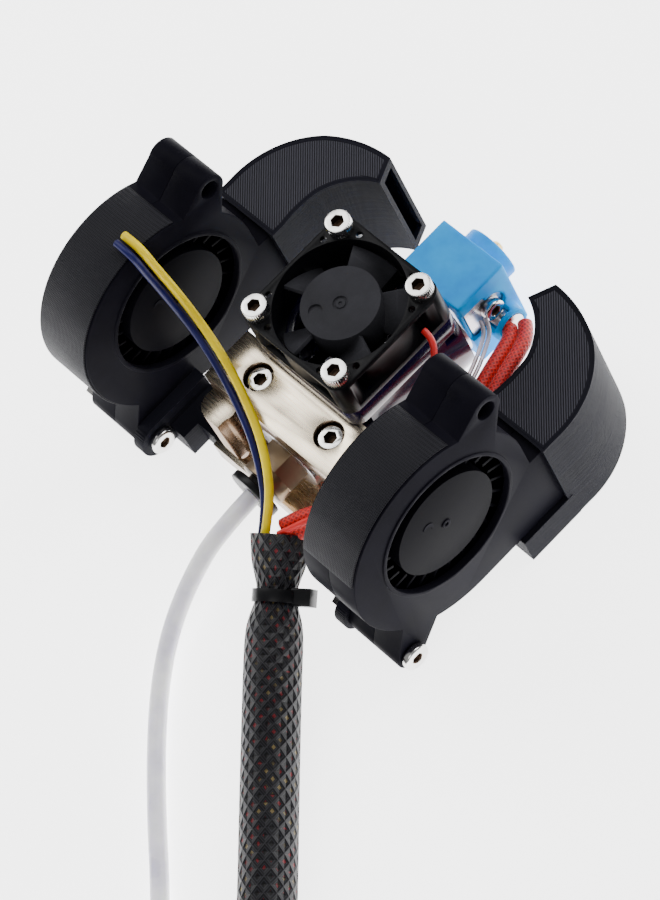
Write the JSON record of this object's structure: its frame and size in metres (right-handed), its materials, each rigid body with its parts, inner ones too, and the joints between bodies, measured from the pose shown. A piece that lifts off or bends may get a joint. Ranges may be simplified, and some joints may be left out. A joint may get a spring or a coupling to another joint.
{
  "type": "hotend assembly",
  "caption": "Filament hotend with a clamped heat sink, a cooling fan, twin radial blowers with curved air ducts, a sleeved heater block and a push-fit tube coupler.",
  "frame": {"origin": "on the clamp's rear mounting face, in the middle of its four tapped holes", "axes": "+Z away from the mounting face towards the heat-sink fan, +Y from the nozzle towards the tube coupler, +X across the blowers"},
  "size_m": [0.2575, 0.2031, 0.0588],
  "materials": {
    "fan_plastic": "satin",
    "steel": "satin",
    "copper": "satin",
    "shroud_gloss": "gloss",
    "nickel_plate": "plated",
    "aluminium": "machined",
    "stainless": "machined",
    "brass": "machined",
    "silicone_blue": "matte",
    "nickel_brass": "plated",
    "coupler_black": "matte",
    "rubber": "matte",
    "blower_plastic": "satin",
    "cloth_tape": "woven",
    "printed_black": "layered",
    "tube_white": "satin",
    "braid": "braided",
    "connector_white": "satin",
    "tie_black": "satin",
    "lead_yellow": "satin",
    "lead_blue": "satin",
    "lead_red": "braided",
    "lead_clear": "satin"
  },
  "bodies": {
    "frame": {"blower_left_bearing": "steel", "blower_left_cover": "blower_plastic", "blower_left_housing": "blower_plastic", "blower_left_stator": "copper", "blower_left_tape": "cloth_tape", "blower_nuts": "steel", "blower_right_bearing": "steel", "blower_right_cover": "blower_plastic", "blower_right_housing": "blower_plastic", "blower_right_stator": "copper", "blower_right_tape": "cloth_tape", "blower_screws": "steel", "bowden_tube": "tube_white", "bracket_left": "printed_black", "bracket_right": "printed_black", "bracket_screws": "steel", "clamp_front_plate": "nickel_plate", "clamp_rear_body": "nickel_plate", "clamp_screws": "steel", "coil_ties": "tie_black", "coupler_body": "nickel_brass", "coupler_seal": "rubber", "duct_left": "printed_black", "duct_right": "printed_black", "fan_bearing": "steel", "fan_frame": "fan_plastic", "fan_lead": "lead_red", "fan_screws": "steel", "fan_shroud": "shroud_gloss", "fan_stator": "copper", "heat_break": "stainless", "heat_sink": "aluminium", "heater_block": "aluminium", "heater_cartridge": "steel", "heater_leads": "lead_red", "lead_blue": "lead_blue", "lead_yellow": "lead_yellow", "loom_coil": "braid", "loom_connector": "connector_white", "loom_sleeve": "braid", "loom_tie": "tie_black", "nozzle": "brass", "silicone_sock": "silicone_blue", "thermistor_leads": "lead_clear", "thermistor_screw": "steel", "tube_coil": "tube_white", "tube_liner": "tube_white"},
    "fan_wheel": {"fan_rotor": "fan_plastic", "fan_shaft": "steel"},
    "left_wheel": {"blower_left_impeller": "blower_plastic", "blower_left_shaft": "steel"},
    "right_wheel": {"blower_right_impeller": "blower_plastic", "blower_right_shaft": "steel"},
    "collet": {"coupler_collet": "coupler_black"}
  },
  "joints": [
    {"name": "fan_spin", "type": "hinge", "parent": "frame", "child": "fan_wheel", "pos_m": [0, -0.02325, 0.037], "axis": [0, 0, 1], "continuous": true},
    {"name": "left_blower_spin", "type": "hinge", "parent": "frame", "child": "left_wheel", "pos_m": [0.0406, -0.00395, 0.0336], "axis": [1, 0, 0], "continuous": true},
    {"name": "right_blower_spin", "type": "hinge", "parent": "frame", "child": "right_wheel", "pos_m": [-0.0406, -0.00395, 0.0336], "axis": [1, 0, 0], "continuous": true},
    {"name": "collet_press", "type": "slide", "parent": "frame", "child": "collet", "axis": [0, -1, 0], "range_m": [0, 0.001], "stiffness_N_per_m": 400}
  ]
}
